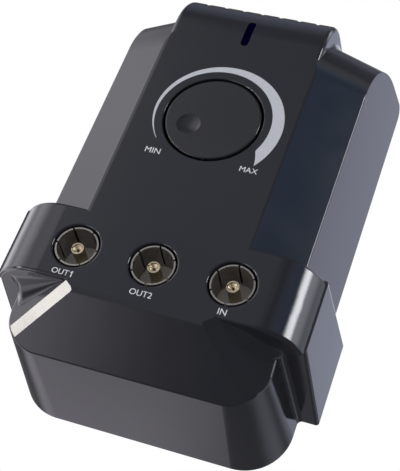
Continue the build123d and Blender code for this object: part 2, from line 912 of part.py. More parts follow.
wiper_place_radius = (track_inner_radius + track_outer_radius) / 2
with BuildPart() as pot_wiper:
    with BuildSketch(level(rotor_level - 2 * rotor_gap + wiper_gap)):
        with Locations((wiper_place_radius * cos(bowl_angle),
                        knob_z + wiper_place_radius * sin(bowl_angle))):
            Rectangle(wiper_size, wiper_size, rotation=dimple_angle)
    extrude(amount=2 * rotor_gap - wiper_gap)
finish(pot_wiper.part, "pot_wiper")

with BuildPart() as pot_body:
    with BuildSketch(level(main_board_front)):
        with Locations(knob_place):
            Circle(pot_radius)
    extrude(amount=pot_height)
    with BuildSketch(level(pot_front)):
        with Locations(knob_place):
            Circle(pot_bush_radius)
    extrude(amount=pot_bush_height)
    with BuildSketch(level(main_board_front + pot_wall)):
        with Locations(knob_place):
            Circle(pot_radius - pot_wall)
    extrude(amount=pot_height - 2 * pot_wall, mode=Mode.SUBTRACT)
    with BuildSketch(level(pot_front - pot_wall)):
        with Locations(knob_place):
            Circle(shaft_radius + shaft_running_gap)
    extrude(amount=pot_wall + pot_bush_height, mode=Mode.SUBTRACT)
    with BuildSketch(level(main_board_front + pot_wall)):
        add(sector(pot_radius - pot_wall / 2, -90, stop_half_angle))
        with Locations(knob_place):
            Circle(track_outer_radius, mode=Mode.SUBTRACT)
    extrude(amount=pot_height - 2 * pot_wall)
finish(pot_body.part, "pot_body")

with BuildPart() as pot_track:
    with BuildSketch(level(main_board_front + pot_wall)):
        with Locations(knob_place):
            Circle(track_outer_radius)
            Circle(track_inner_radius, mode=Mode.SUBTRACT)
        add(sector(pot_radius, -90, stop_half_angle), mode=Mode.SUBTRACT)
    extrude(amount=track_thickness)
finish(pot_track.part, "pot_track")

# Power light: the window in the cover's slot and the lamp on the main board
with BuildPart() as light_window:
    with BuildSketch(level(inner_front)):
        centred_slot(slot_width - 2 * window_clearance, slot_bottom_z + window_clearance,
                     slot_top_z - window_clearance)
    extrude(amount=wall - window_recess)
    with BuildSketch(level(inner_front - window_flange_thickness)):
        centred_slot(slot_width + 2 * window_flange, slot_bottom_z - window_flange,
                     slot_top_z + window_flange)
    extrude(amount=window_flange_thickness)
    add(upper_form(window_recess), mode=Mode.INTERSECT)
    add(front_cover.part, mode=Mode.SUBTRACT)
finish(light_window.part, "light_window")

led_place = (0, (slot_top_z + slot_bottom_z) / 2)
led_back = inner_front - window_flange_thickness - led_gap - led_length
with BuildPart() as power_led:
    with BuildSketch(level(led_back)):
        with Locations(led_place):
            Circle(led_rim_radius)
    extrude(amount=led_rim_thickness)
    with BuildSketch(level(led_back + led_rim_thickness)):
        with Locations(led_place):
            Circle(led_radius)
    extrude(amount=led_length - led_rim_thickness - led_radius)
    with Locations((0, -led_back - led_length + led_radius, led_place[1])):
        Sphere(led_radius)
finish(power_led.part, "power_led")

with BuildPart() as led_leads:
    with BuildSketch(level(main_board_front)):
        with Locations(led_place):
            with GridLocations(led_lead_spacing, 0, 2, 1):
                Rectangle(led_lead_size, led_lead_size)
    extrude(amount=led_back - main_board_front)
finish(led_leads.part, "led_leads")

# Amplifier chip and the splitter's ferrite core, under the front screen
with BuildPart() as amplifier_chip:
    with BuildSketch(level(main_board_front)):
        with Locations(chip_place):
            Rectangle(chip_size[0], chip_size[1])
    extrude(amount=chip_size[2])
finish(amplifier_chip.part, "amplifier_chip")

with BuildPart() as splitter_core:
    with BuildSketch(level(main_board_front)):
        with Locations(splitter_place):
            Rectangle(splitter_size[0], splitter_size[1])
    extrude(amount=splitter_size[2])
    with BuildSketch(Plane.XY.offset(splitter_place[1] - splitter_size[1])):
        with Locations((splitter_place[0], -main_board_front - splitter_size[2] / 2)):
            with GridLocations(splitter_size[0] / 2, 0, 2, 1):
                Circle(splitter_hole_radius)
    extrude(amount=2 * splitter_size[1], mode=Mode.SUBTRACT)
finish(splitter_core.part, "splitter_core")


def blade(place, width, height, length, core_width, core_height, core_length):
    """Plug pin with a flange inside the back wall and a chamfered tip outside."""
    with BuildPart() as pin:
        with BuildSketch(level(back_wall)):
            with Locations(place):
                Rectangle(width + 2 * pin_flange, height + 2 * pin_flange)
        extrude(amount=pin_flange_thickness)
        with BuildSketch(level(back_wall)):
            with Locations(place):
                Rectangle(core_width, core_height)
        extrude(amount=-back_wall - core_length)
        with BuildSketch(level(-core_length)):
            with Locations(place):
                Rectangle(width, height)
        extrude(amount=core_length - length)
        chamfer(pin.faces().sort_by(Axis.Y)[-1].edges(), pin_tip_chamfer)
    return pin.part


def live_pin(place):
    """Brass pin with a tab for its strap."""
    with BuildPart() as pin:
        add(blade(place, pin_width, pin_height, pin_length, pin_core_width, pin_core_height,
                  sleeve_length))
        with BuildSketch(level(retainer_back)):
            with Locations(place):
                Rectangle(tab_width, tab_thickness)
        extrude(amount=retainer_thickness + strap_thickness + tab_rise)
    return pin.part


def pin_sleeve(place):
    """Insulating sleeve over a pin's root, flush with the bare metal beyond it."""
    with BuildPart() as sleeve:
        with BuildSketch(level(back_wall)):
            with Locations(place):
                Rectangle(pin_width, pin_height)
                Rectangle(pin_core_width, pin_core_height, mode=Mode.SUBTRACT)
        extrude(amount=-back_wall - sleeve_length)
    return sleeve.part


def pin_strap(place):
    """Flat strap from a pin's tab to the power board."""
    top_z = place[1] + strap_width / 2
    with BuildPart() as strap:
        with BuildSketch(level(retainer_front)):
            with Locations((place[0], (top_z + strap_bottom_z) / 2)):
                Rectangle(strap_width, top_z - strap_bottom_z)
            with Locations(place):
                Rectangle(tab_width, tab_thickness, mode=Mode.SUBTRACT)
        extrude(amount=strap_thickness)
    return strap.part


# Plug pins, seen from the front: neutral on the left and live on the right
for place, pole in zip(live_places, ("neutral", "live")):
    finish(live_pin(place), f"{pole}_pin")
    finish(pin_sleeve(place), f"{pole}_pin_sleeve")
    finish(pin_strap(place), f"{pole}_strap")
finish(
    blade(earth_place, earth_width, earth_height, earth_length, earth_width, earth_height,
          sleeve_length),
    "earth_pin",
)

with BuildPart() as pin_retainer:
    with BuildSketch(level(retainer_back)) as retainer_plan:
        with Locations((0, (retainer_top_z + retainer_bottom_z) / 2)):
            RectangleRounded(2 * retainer_half, retainer_top_z - retainer_bottom_z,
                             retainer_corner)
        with Locations(*live_places):
            Rectangle(tab_width, tab_thickness, mode=Mode.SUBTRACT)
        with Locations(*retainer_screw_places):
            Circle(inner_screw_radius + screw_clearance, mode=Mode.SUBTRACT)
    extrude(amount=retainer_thickness)
finish(pin_retainer.part, "pin_retainer")

# Power board
with BuildPart() as power_board:
    with BuildSketch(level(power_board_level)):
        with Locations((0, (power_board_top_z + power_board_bottom_z) / 2)):
            Rectangle(2 * power_board_half, power_board_top_z - power_board_bottom_z)
        with Locations(*power_screw_places):
            Circle(inner_screw_radius + screw_clearance, mode=Mode.SUBTRACT)
    extrude(amount=board_thickness)
finish(power_board.part, "power_board")

# Transformer: laminated core, split bobbin and its two windings
coil_height = main_board_level - coil_headroom - power_board_front
core_stack = coil_height - 2 * coil_overhang
coil_level = power_board_front + coil_height / 2
limb_half = core_limb / 2
window_out = limb_half + core_window
core_half = window_out + core_outer_limb
core_height = core_window_height + 2 * core_yoke
with BuildPart() as transformer_core:
    with BuildSketch(level(coil_level - core_stack / 2)):
        with Locations((0, transformer_z)):
            Rectangle(2 * core_half, core_height)
            with GridLocations(core_limb + core_window, 0, 2, 1):
                Rectangle(core_window, core_window_height, mode=Mode.SUBTRACT)
    extrude(amount=core_stack)
finish(transformer_core.part, "transformer_core")


def coil_ring(low_z, high_z, outer_x, outer_y, hole_x, hole_y):
    """Rectangular ring round the core's middle limb, between two heights."""
    with BuildPart() as ring:
        with BuildSketch(Plane.XY.offset(low_z)):
            with Locations((0, -coil_level)):
                Rectangle(2 * outer_x, 2 * outer_y)
                Rectangle(2 * hole_x, 2 * hole_y, mode=Mode.SUBTRACT)
        extrude(amount=high_z - low_z)
    return ring.part


tube_x = limb_half + bobbin_wall
tube_y = core_stack / 2 + bobbin_wall
flange_x = window_out - bobbin_wall / 2
flange_y = coil_height / 2
bobbin_low = transformer_z - core_window_height / 2
bobbin_high = transformer_z + core_window_height / 2
flange_lows = (bobbin_low, transformer_z - bobbin_wall / 2, bobbin_high - bobbin_wall)
with BuildPart() as transformer_bobbin:
    add(coil_ring(bobbin_low, bobbin_high, tube_x, tube_y, limb_half, core_stack / 2))
    for low in flange_lows:
        add(coil_ring(low, low + bobbin_wall, flange_x, flange_y, limb_half, core_stack / 2))
finish(transformer_bobbin.part, "transformer_bobbin")
for low, high, winding in zip(flange_lows, flange_lows[1:], ("secondary", "primary")):
    finish(
        coil_ring(low + bobbin_wall, high, tube_x + winding_depth, tube_y + winding_depth,
                  tube_x, tube_y),
        f"{winding}_winding",
    )

finish(posts([capacitor_place], capacitor_radius, power_board_front,
             power_board_front + capacitor_height), "smoothing_capacitor")
finish(posts([fuse_place], fuse_radius, power_board_front, power_board_front + fuse_height),
       "mains_fuse")

with BuildPart() as rectifier_diodes:
    with BuildSketch(Plane.YZ.offset(diode_x - diode_length / 2)):
        with Locations((-power_board_front - diode_radius, transformer_z)):
            with GridLocations(0, diode_pitch, 1, diode_count):
                Circle(diode_radius)
    extrude(amount=diode_length)
finish(rectifier_diodes.part, "rectifier_diodes")

with BuildPart() as voltage_regulator:
    with BuildSketch(level(power_board_front)):
        with Locations(regulator_place):
            Rectangle(regulator_body[0], regulator_body[1])
    extrude(amount=regulator_body[2])
    with BuildSketch(level(power_board_front)):
        with Locations((regulator_place[0], regulator_place[1] + regulator_body[1] / 2)):
            Rectangle(regulator_tab[0], regulator_tab[1])
    extrude(amount=main_board_level - regulator_headroom - power_board_front)
finish(voltage_regulator.part, "voltage_regulator")

with BuildPart() as board_link:
    with BuildSketch(level(power_board_front)):
        with Locations((0, link_z)):
            Rectangle(*link_size)
    extrude(amount=main_board_level - power_board_front)
finish(board_link.part, "board_link")
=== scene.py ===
"""A plug-in aerial signal amplifier, dressed over its fixed frame.

The frame gives every solid and its place. This script gives each solid its finish, prints the
gain scale and the labels on the cover, adds the soft hollows and the contacts' leaves that the
solids leave out, and sets up the studio. All sizes are in metres unless a line says otherwise.
"""

import json
import math

import bmesh
import bpy
from mathutils import Matrix, Vector
from mathutils.bvhtree import BVHTree


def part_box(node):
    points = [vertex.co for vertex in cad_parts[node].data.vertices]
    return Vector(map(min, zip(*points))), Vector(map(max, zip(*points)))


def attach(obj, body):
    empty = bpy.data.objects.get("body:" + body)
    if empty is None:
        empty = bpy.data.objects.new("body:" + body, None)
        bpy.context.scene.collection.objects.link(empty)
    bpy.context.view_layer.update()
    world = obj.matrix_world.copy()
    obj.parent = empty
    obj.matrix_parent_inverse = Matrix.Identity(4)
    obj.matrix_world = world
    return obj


# the cover's front, the row of sockets, and the gain control's axis above it
FRONT = -0.0432
SOCKET_ROW = -0.058
KNOB_HEIGHT = SOCKET_ROW + 0.0423
CASE_MIDDLE = Vector((0.0, -0.022, -0.020))
FORWARD = Vector((0.0, -1.0, 0.0))
UPWARD = Vector((0.0, 0.0, 1.0))

# Printed ink: what stands proud of the cover, and the whole film. Points closer than the weld
# merge, and rays to the cover start from before it.
INK_PROUD = 0.00002
INK_FILM = 0.00006
WELD = 0.000001
BEFORE_COVER = 0.01

# how much a word's strokes swell, as a share of the letters' size, and the steps of its curves
BOLD, PLAIN = 0.004, 0.0
LETTER_CURVES = 6

# the figure one: its outline in heights from its foot, and the faces that fill it
FIGURE_ONE = (
    (0.0, 0.0), (0.15, 0.0), (0.15, 1.0), (0.03, 1.0),
    (-0.05, 0.86), (-0.21, 0.76), (-0.21, 0.64), (0.0, 0.76),
)
FIGURE_ONE_FACES = ((0, 1, 2, 7), (7, 2, 3, 4), (7, 4, 5, 6))

# The crescent round the knob, in millimetres: its inner radius, and its outer radius at each angle
# in degrees. Past the cut, its wide end runs out slantwise over the length of the slant.
SCALE_INNER = 14.5
SCALE_OUTER = (
    (217, 14.62), (200, 14.85), (180, 15.15), (150, 15.5), (110, 15.95), (90, 16.2),
    (60, 16.75), (30, 17.25), (0, 17.55), (-27, 17.6), (-38, 17.6),
)
SCALE_CUT, SCALE_SLANT = -27, 11
SCALE_STEPS, SCALE_RINGS = 120, 3

# A hollow round: faces across it, how far its back is buried in the corner, and how far its edges
# dip under the walls. It starts and ends with the least radius.
ROUND_STEPS = 14
ROUND_BURIED = 0.0003
ROUND_DIP = 0.000012
LEAST_ROUND = 0.0002
ROUND_ROWS = 40

# the chin's roots: side, name, radius, the length over which it grows, and that over which it ends
CHIN_ROOTS = (
    (-1, "chin_root_left", 0.0062, 0.0140, 0.0040),
    (1, "chin_root_right", 0.0034, 0.0068, 0.0035),
)
ROOT_FIRST, ROOT_LAST, ROOT_END = 0.0012, 0.0184, 0.0186
UNDER_BAND = (0.0260, -0.0405, -0.0900)
BEFORE_FLANK = (0.0285, -0.0600, -0.0690)

# the grip's feet: the grip's half width, where its foot is felt for beside it, and the turn of the
# case's line that it follows, in degrees
GRIP_MIDDLE = Vector((0.0, -0.012, 0.004))
GRIP_HALF, BESIDE_GRIP, OUTSIDE_CASE = 0.0200, 0.0209, 0.06
GRIP_FROM, GRIP_TURN = -158, 62
GRIP_ROUND, GRIP_GROWS, GRIP_ENDS = 0.0024, 0.2, 0.3

# the sprung leaves of a centre contact
LEAVES = (
    ("Leaves", "NodeSocketInt", 4),
    ("Inner Radius", "NodeSocketFloat", 0.00042),
    ("Outer Radius", "NodeSocketFloat", 0.00116),
    ("Slot", "NodeSocketFloat", 0.00012),
    ("Drop", "NodeSocketFloat", 0.0007),
    ("Thickness", "NodeSocketFloat", 0.00012),
)
LEAF_SET_BACK = 0.0004
LEAF_POINTS_OUT, LEAF_POINTS_ROUND = 5, 9

# the photograph's view
CAMERA_PLACE = (0.078897, -0.267821, -0.171465)
CAMERA_RIGHT = (0.937815, 0.116724, 0.326923)
CAMERA_UP = (-0.221927, -0.522575, 0.823203)
CAMERA_BACK = (0.266930, -0.844566, -0.464174)
FOCAL_PIXELS = 1166.05
LONG_SIDE_PIXELS = 471
SENSOR_WIDTH = 36.0
NEAREST, FARTHEST = 0.01, 50.0

# The studio by direction from the case: each panel is (bearing, height, half width, half height,
# soft edge across, soft edge up, colour), in degrees. Bearing 0 is in front, 90 on the right.
# The gloss sees the first set, and everything else is lit by the second.
GLOSS_AMBIENT = (0.13, 0.13, 0.145)
GLOSS_PANELS = (
    (-15, 20, 25, 20, 10, 10, (0.27, 0.28, 0.31)),
    (-24, -27, 26, 26, 12, 10, (0.32, 0.32, 0.35)),
    (-58, 22, 30, 22, 8, 14, (1.00, 0.98, 1.00)),
    (-96, 22, 34, 21, 12, 14, (1.10, 1.07, 1.14)),
    (-118, 14, 14, 20, 10, 10, (0.70, 0.68, 0.72)),
    (-100, -22, 16, 24, 8, 8, (1.90, 1.85, 2.00)),
    (-64, -12.6, 5, 6.2, 2, 1.2, (19.0, 18.1, 17.2)),
    (-61, -45, 18, 16, 14, 6, (2.7, 2.6, 2.8)),
    (-125, -35, 20, 14, 12, 10, (1.50, 1.44, 1.57)),
    (-150, -30, 17, 16, 6, 10, (0.66, 0.63, 0.70)),
    (160, 33, 16, 17, 8, 9, (0.44, 0.47, 0.60)),
    (147, -7, 12, 10, 8, 8, (0.28, 0.30, 0.36)),
    (121, 56, 18, 10, 12, 8, (2.00, 2.00, 2.35)),
    (-120, 78, 90, 12, 40, 8, (0.12, 0.14, 0.22)),
    (54, 40, 8, 16, 7, 7, (0.0, 0.12, 0.29)),
    (40, 24, 11, 14, 8, 8, (0.14, 0.20, 0.36)),
    (58, 56, 14, 8, 8, 6, (0.30, 0.28, 0.31)),
    (70.5, 30, 8.0, 9, 4.5, 3.5, (15.0, 15.3, 16.0)),
    (85, 27, 12, 10, 12, 5, (2.3, 2.4, 2.6)),
    (108, 12, 22, 25, 10, 8, (0.85, 0.92, 1.05)),
    (180, 14, 8, 34, 4, 12, (0.90, 0.90, 0.96)),
)
FILL_AMBIENT = (0.70, 0.71, 0.75)
FILL_PANELS = ((-31, 30, 60, 50, 40, 40, (0.32, 0.32, 0.33)),)

# the key light: its direction from the case, its distance, its side and its radiance
KEY_DIRECTION = Vector((-0.50, -0.70, 0.52))
KEY_DISTANCE, KEY_SIDE, KEY_RADIANCE = 0.9, 0.35, 6.4

FLOOR = -0.42
FLOOR_HALF = 3.0
FLOOR_WHITE_SHARE = 0.9

# how fine each pattern of a finish is, in patches for each metre
CLOUDING, WIPING, SPARK_GRAIN, SINK_MARKS = 38.0, 210.0, 5200.0, 55.0
TARNISH, WORKING_LINES = 420.0, 2600.0
CLEAR_CLOUDING, CLEAR_WIPING = 300.0, 900.0
BOARD_TRACKS, TRACK_EDGE, GLASS_WEAVE = 160.0, 0.045, 3000.0
WIRE_TURNS, CORE_SHEETS, CORE_VARNISH = 900.0, 700.0, 700.0
INK_COVER = 2400.0
FLOOR_CLOUDING = 3.0

# how much finer the working lines are along x, y and z, on turned and on rolled pieces
SHELL_LINES = (1.0, 10.0, 1.0)
SHAFT_LINES = (1.0, 8.0, 1.0)
TINPLATE_LINES = (1.0, 1.0, 12.0)

# how deep each relief of a finish is
SPARK_DEPTH = 0.00002
LINE_DEPTH = 0.00001
TRACK_DEPTH = 0.00003
TURN_DEPTH = 0.0001
SHEET_DEPTH = 0.00006
INK_DEPTH = 0.000006


def fed(node, links, values):
    """Feeds a node's inputs in their order, each with a fixed value or another node's output."""
    for socket, value in zip(node.inputs, values):
        if isinstance(value, bpy.types.NodeSocket):
            links.new(value, socket)
        else:
            socket.default_value = value
    return node


def number(tree, operation, *values):
    """One sum on numbers, as a node."""
    node = tree.nodes.new("ShaderNodeMath")
    node.operation = operation
    return fed(node, tree.links, values).outputs["Value"]


class Finish:
    """One material: its shader, and the nodes that feed it."""

    def __init__(self, name):
        self.material = bpy.data.materials.new(name)
        self.material.use_nodes = True
        self.tree = self.material.node_tree
        self.shader = self.tree.nodes["Principled BSDF"]
        self.place = self.add("ShaderNodeTexCoord").outputs["Object"]

    def add(self, kind, **settings):
        """A new node, with its settings."""
        node = self.tree.nodes.new(kind)
        for key, value in settings.items():
            setattr(node, key, value)
        return node

    def link(self, out, to):
        """Joins a node's output to an input."""
        self.tree.links.new(out, to)

    def set(self, **values):
        """Sets the shader's own inputs to fixed values."""
        for key, value in values.items():
            self.shader.inputs[key.replace("_", " ")].default_value = value
        return self

    def into(self, **outputs):
        """Feeds the shader's inputs from nodes."""
        for key, out in outputs.items():
            self.link(out, self.shader.inputs[key.replace("_", " ")])
        return self

    def grain(self, scale, detail=2.0, stretch=None):
        """Noise over the piece, finer with scale, drawn out along one direction by stretch."""
        noise = self.add("ShaderNodeTexNoise")
        noise.inputs["Scale"].default_value = scale
        noise.inputs["Detail"].default_value = detail
        source = self.place
        if stretch:
            mapping = self.add("ShaderNodeMapping")
            mapping.inputs["Scale"].default_value = stretch
            self.link(source, mapping.inputs["Vector"])
            source = mapping.outputs["Vector"]
        self.link(source, noise.inputs["Vector"])
        return noise.outputs["Fac"]

    def bands(self, direction, scale):
        """Even bands across one direction."""
        bands = self.add("ShaderNodeTexWave", wave_type="BANDS", bands_direction=direction)
        bands.inputs["Scale"].default_value = scale
        self.link(self.place, bands.inputs["Vector"])
        return bands

    def spread(self, value, low, high, start=0.35, end=0.65):
        """A value from low to high as the noise goes from start to end."""
        node = self.add("ShaderNodeMapRange")
        node.inputs["From Min"].default_value = start
        node.inputs["From Max"].default_value = end
        node.inputs["To Min"].default_value = low
        node.inputs["To Max"].default_value = high
        self.link(value, node.inputs["Value"])
        return node.outputs["Result"]

    def colours(self, value, *stops):
        """A colour ramp from (place, (r, g, b)) stops."""
        ramp = self.add("ShaderNodeValToRGB")
        bar = ramp.color_ramp
        for element, (place, colour) in zip(bar.elements, (stops[0], stops[-1])):
            element.position = place
            element.color = (*colour, 1.0)
        for place, colour in stops[1:-1]:
            bar.elements.new(place).color = (*colour, 1.0)
        self.link(value, ramp.inputs["Fac"])
        return ramp.outputs["Color"]

    def bump(self, value, height, strength, under=None):
        """Relief from a value, on top of another relief where one is given."""
        node = self.add("ShaderNodeBump")
        node.inputs["Distance"].default_value = height
        node.inputs["Strength"].default_value = strength
        self.link(value, node.inputs["Height"])
        if under is not None:
            self.link(under, node.inputs["Normal"])
        return node.outputs["Normal"]


def shade(colour, factor):
    """A colour made lighter or darker."""
    return tuple(c * factor for c in colour)


def moulded_plastic(name, colour, roughness, gloss=0.5, spread=0.05, sink=0.0001):
    """Moulded plastic: faint clouding, spark-eroded grain and wiped, slightly uneven gloss."""
    finish = Finish(name).set(IOR=1.49, Specular_IOR_Level=gloss)
    cloud = finish.grain(CLOUDING, 3.0)
    sunk = finish.bump(finish.grain(SINK_MARKS, 1.0), sink, 0.3)
    finish.into(
        Base_Color=finish.colours(cloud, (0.3, shade(colour, 0.94)), (0.7, shade(colour, 1.06))),
        Roughness=finish.spread(
            finish.grain(WIPING, 4.0), roughness - spread, roughness + spread
        ),
        Normal=finish.bump(finish.grain(SPARK_GRAIN), SPARK_DEPTH, 0.35, sunk),
    )
    return finish.material


def plated_metal(name, colour, roughness, lines=None, metallic=1.0):
    """Plated or drawn metal, with tarnish in patches and fine working lines."""
    finish = Finish(name).set(Metallic=metallic)
    patches = finish.grain(TARNISH, 4.0)
    marks = finish.grain(WORKING_LINES, 3.0, lines)
    finish.into(
        Base_Color=finish.colours(
            patches, (0.3, shade(colour, 0.78)), (0.55, colour), (0.8, shade(colour, 1.06))
        ),
        Roughness=finish.spread(marks, roughness * 0.75, roughness * 1.4),
        Normal=finish.bump(marks, LINE_DEPTH, 0.3),
    )
    return finish.material


def clear_plastic(name, colour, roughness, clear):
    """Tinted clear plastic, as a lamp's lens has."""
    finish = Finish(name).set(IOR=1.49, Transmission_Weight=clear)
    cloud = finish.grain(CLEAR_CLOUDING)
    finish.into(
        Base_Color=finish.colours(cloud, (0.3, shade(colour, 0.9)), (0.7, shade(colour, 1.1))),
        Roughness=finish.spread(
            finish.grain(CLEAR_WIPING, 3.0), roughness * 0.7, roughness * 1.3
        ),
    )
    return finish.material


def solder_mask(name, colour):
    """Circuit board: green lacquer over copper tracks, with the glass weave showing through."""
    finish = Finish(name).set(IOR=1.52, Coat_Weight=0.5, Coat_Roughness=0.12)
    tracks = finish.add("ShaderNodeTexBrick")
    tracks.inputs["Scale"].default_value = BOARD_TRACKS
    tracks.inputs["Mortar Size"].default_value = TRACK_EDGE
    tracks.inputs["Color1"].default_value = (*colour, 1.0)
    tracks.inputs["Color2"].default_value = (*shade(colour, 0.85), 1.0)
    tracks.inputs["Mortar"].default_value = (*shade(colour, 1.7), 1.0)
    turned = finish.add("ShaderNodeMapping")
    turned.inputs["Rotation"].default_value = (math.radians(90), 0.0, 0.0)
    finish.link(finish.place, turned.inputs["Vector"])
    finish.link(turned.outputs["Vector"], tracks.inputs["Vector"])
    weave = finish.grain(GLASS_WEAVE, 1.0)
    woven = finish.bump(weave, LINE_DEPTH, 0.4)
    finish.into(
        Base_Color=tracks.outputs["Color"],
        Roughness=finish.spread(weave, 0.28, 0.42),
        Normal=finish.bump(tracks.outputs["Fac"], TRACK_DEPTH, 0.5, woven),
    )
    return finish.material


def wound_wire(name, colour):
    """Enamelled copper wire in close turns."""
    finish = Finish(name).set(Metallic=0.85, Coat_Weight=0.6, Coat_Roughness=0.1)
    turns = finish.bands("Z", WIRE_TURNS)
    turns.inputs["Distortion"].default_value = 0.6
    turn = turns.outputs["Fac"]
    # the colour is darkest in the grooves between turns and lightest on their crests: painted
    # shade in the grooves and a painted highlight on the crests, following the relief
    finish.into(
        Base_Color=finish.colours(
            turn, (0.05, shade(colour, 0.35)), (0.6, colour), (1.0, shade(colour, 1.2))
        ),
        Roughness=finish.spread(turn, 0.45, 0.22, 0.0, 1.0),
        Normal=finish.bump(turn, TURN_DEPTH, 0.8),
    )
    return finish.material


def stacked_steel(name, colour):
    """Transformer core: varnished sheets seen on edge."""
    finish = Finish(name).set(Metallic=0.75)
    sheet = finish.bands("Y", CORE_SHEETS).outputs["Fac"]
    finish.into(
        Base_Color=finish.colours(sheet, (0.1, shade(colour, 0.5)), (0.7, colour)),
        Roughness=finish.spread(finish.grain(CORE_VARNISH, 3.0), 0.38, 0.6),
        Normal=finish.bump(sheet, SHEET_DEPTH, 0.7),
    )
    return finish.material


def printed_ink(name, colour):
    """Pad-printed ink, thin and a little uneven over the moulded grain."""
    finish = Finish(name).set(IOR=1.5)
    cover = finish.grain(INK_COVER, 3.0)
    finish.into(
        Base_Color=finish.colours(cover, (0.25, shade(colour, 0.88)), (0.6, colour)),
        Roughness=finish.spread(cover, 0.42, 0.6),
        Normal=finish.bump(cover, INK_DEPTH, 0.5),
    )
    return finish.material


def place_camera():
    """The photograph's viewpoint, its framing and its lens."""
    data = bpy.data.cameras.new("photograph_view")
    data.sensor_width = SENSOR_WIDTH
    data.sensor_fit = "AUTO"
    data.lens = FOCAL_PIXELS / LONG_SIDE_PIXELS * SENSOR_WIDTH
    data.clip_start, data.clip_end = NEAREST, FARTHEST
    camera = bpy.data.objects.new("photograph_view", data)
    turned = Matrix((CAMERA_RIGHT, CAMERA_UP, CAMERA_BACK)).transposed().to_4x4()
    camera.matrix_world = Matrix.Translation(CAMERA_PLACE) @ turned
    bpy.context.scene.collection.objects.link(camera)
    bpy.context.scene.camera = camera


def hang_key_light():
    """A lit panel up on the left that reaches into the sockets. The gloss doesn't see it."""
    data = bpy.data.lights.new("key_light", "AREA")
    data.shape = "SQUARE"
    data.size = KEY_SIDE
    data.energy = KEY_RADIANCE * math.pi * KEY_SIDE * KEY_SIDE
    lamp = bpy.data.objects.new("key_light", data)
    away = KEY_DIRECTION.normalized()
    lamp.location = CASE_MIDDLE + away * KEY_DISTANCE
    lamp.rotation_mode = "QUATERNION"
    lamp.rotation_quaternion = (-away).to_track_quat("-Z", "Y")
    lamp.visible_glossy = False
    bpy.context.scene.collection.objects.link(lamp)


def studio_glow(tree, ambient, panels):
    """Light by direction: a level all round, and panels with soft edges."""
    nodes, links = tree.nodes, tree.links

    def vector(operation, *values):
        node = nodes.new("ShaderNodeVectorMath")
        node.operation = operation
        out = "Value" if operation == "DOT_PRODUCT" else "Vector"
        return fed(node, links, values).outputs[out]

    def inside(angle, half, soft):
        node = nodes.new("ShaderNodeMapRange")
        node.interpolation_type = "SMOOTHSTEP"
        node.inputs["From Min"].default_value = math.radians(half + soft)
        node.inputs["From Max"].default_value = math.radians(half - soft)
        links.new(number(tree, "ABSOLUTE", angle), node.inputs["Value"])
        return node.outputs["Result"]

    where = nodes.new("ShaderNodeTexCoord").outputs["Generated"]
    height = number(tree, "ARCSINE", vector("DOT_PRODUCT", where, UPWARD))
    total = nodes.new("ShaderNodeRGB").outputs["Color"]
    total.default_value = (*ambient, 1.0)
    for bearing, up, half_width, half_height, soft_across, soft_up, colour in panels:
        turn = math.radians(bearing)
        ahead = vector("DOT_PRODUCT", where, (math.sin(turn), -math.cos(turn), 0.0))
        across = vector("DOT_PRODUCT", where, (math.cos(turn), math.sin(turn), 0.0))
        sideways = inside(number(tree, "ARCTAN2", across, ahead), half_width, soft_across)
        level = number(tree, "SUBTRACT", height, math.radians(up))
        upright = inside(level, half_height, soft_up)
        lit = nodes.new("ShaderNodeVectorMath")
        lit.operation = "SCALE"
        lit.inputs[0].default_value = colour
        links.new(number(tree, "MULTIPLY", sideways, upright), lit.inputs["Scale"])
        total = vector("ADD", total, lit.outputs["Vector"])
    glow = nodes.new("ShaderNodeBackground")
    links.new(total, glow.inputs["Color"])
    return glow.outputs["Background"]


def light_room():
    """The world: white to the camera, the panels in the gloss, and a soft fill for the rest."""
    world = bpy.data.worlds.new("studio")
    bpy.context.scene.world = world
    world.use_nodes = True
    tree = world.node_tree
    nodes, links = tree.nodes, tree.links
    nodes.clear()
    white = nodes.new("ShaderNodeBackground")
    white.inputs["Color"].default_value = (1.0, 1.0, 1.0, 1.0)
    path = nodes.new("ShaderNodeLightPath")
    light = studio_glow(tree, FILL_AMBIENT, FILL_PANELS)
    for ray, seen in (
        ("Is Glossy Ray", studio_glow(tree, GLOSS_AMBIENT, GLOSS_PANELS)),
        ("Is Camera Ray", white.outputs["Background"]),
    ):
        mix = nodes.new("ShaderNodeMixShader")
        light = fed(mix, links, (path.outputs[ray], light, seen)).outputs["Shader"]
    out = nodes.new("ShaderNodeOutputWorld")
    links.new(light, out.inputs["Surface"])


def lay_floor():
    """A pale floor well below the case, nearly white to the camera and left out of the gloss."""
    mesh = bpy.data.meshes.new("studio_floor")
    size = FLOOR_HALF
    corners = [
        (-size, -size, FLOOR), (size, -size, FLOOR), (size, size, FLOOR), (-size, size, FLOOR)
    ]
    mesh.from_pydata(corners, [], [(0, 1, 2, 3)])
    floor = bpy.data.objects.new("studio_floor", mesh)
    bpy.context.scene.collection.objects.link(floor)
    finish = Finish("studio_floor").set(Roughness=0.9)
    cloud = finish.grain(FLOOR_CLOUDING)
    finish.into(
        Base_Color=finish.colours(cloud, (0.3, (0.80, 0.80, 0.81)), (0.7, (0.84, 0.84, 0.85)))
    )
    path = finish.add("ShaderNodeLightPath")
    white = finish.add("ShaderNodeEmission").outputs["Emission"]
    unseen = finish.add("ShaderNodeBsdfTransparent").outputs["BSDF"]
    share = number(finish.tree, "MULTIPLY", path.outputs["Is Camera Ray"], FLOOR_WHITE_SHARE)
    light = finish.shader.outputs["BSDF"]
    for ray, seen in ((path.outputs["Is Glossy Ray"], unseen), (share, white)):
        mix = finish.add("ShaderNodeMixShader")
        light = fed(mix, finish.tree.links, (ray, light, seen)).outputs["Shader"]
    finish.link(light, finish.tree.nodes["Material Output"].inputs["Surface"])
    mesh.materials.append(finish.material)


